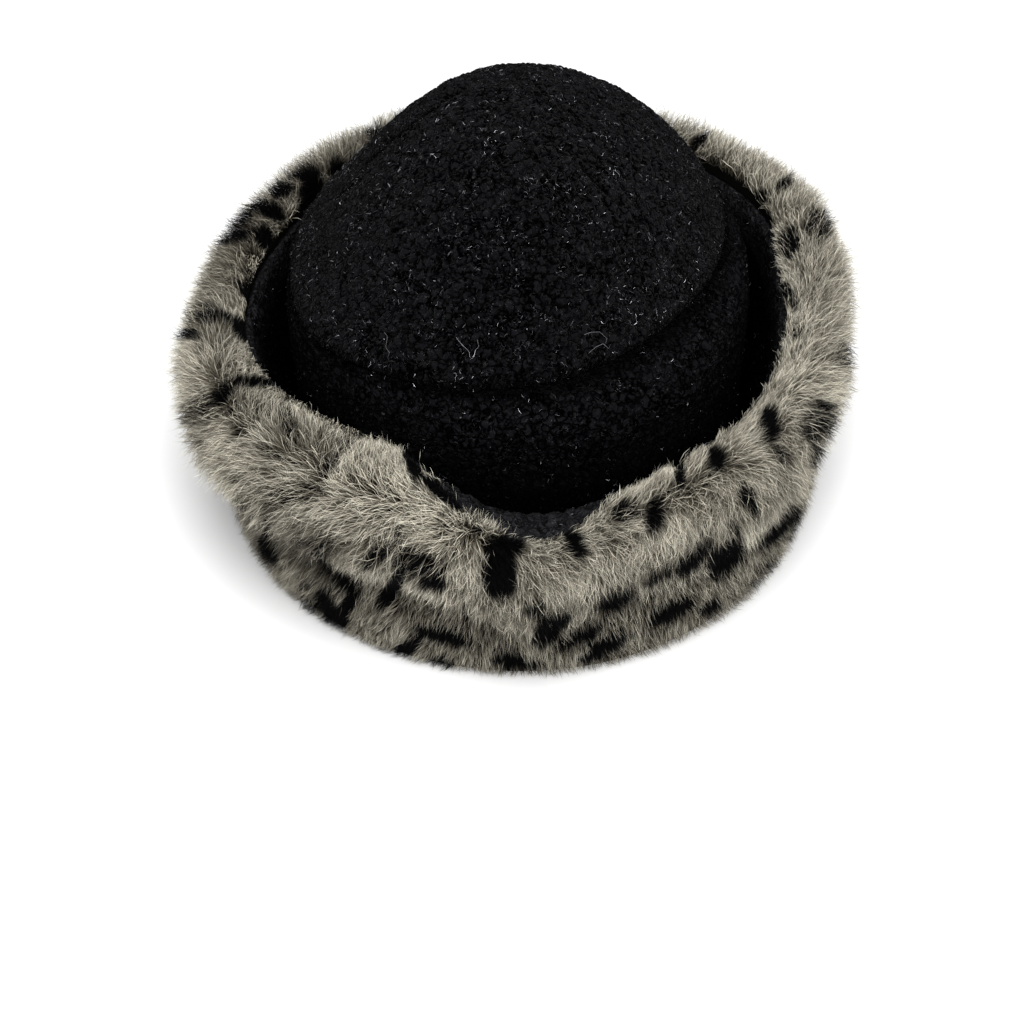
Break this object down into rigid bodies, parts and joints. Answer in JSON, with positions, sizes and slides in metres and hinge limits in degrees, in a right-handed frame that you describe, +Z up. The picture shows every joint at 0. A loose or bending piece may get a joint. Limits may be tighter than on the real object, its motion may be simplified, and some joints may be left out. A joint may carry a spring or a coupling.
{
  "type": "cossack hat",
  "caption": "Soft cossack hat: a domed crown of black boucle cloth inside a turned-up cuff of deep grey-taupe fur with dark animal spots, open underneath for the head.",
  "frame": {"origin": "middle of the hat's box, on the surface that the hat rests on", "axes": "+Z up through the crown, +Y towards the wearer's front, +X towards the wearer's right; the picture looks along +Y and down"},
  "size_m": [0.2688, 0.2787, 0.167],
  "materials": {
    "crown_tip": "nubby black boucle wool with sparse silver flecks",
    "crown_band": "nubby black boucle wool with sparse silver flecks",
    "cuff_facing": "nubby black boucle wool with sparse silver flecks",
    "fur_cuff": "deep soft grey-taupe fur with black spots"
  },
  "bodies": {
    "root": {"crown_tip": "crown_tip", "crown_band": "crown_band", "cuff_facing": "cuff_facing", "fur_cuff": "fur_cuff"}
  },
  "joints": []
}
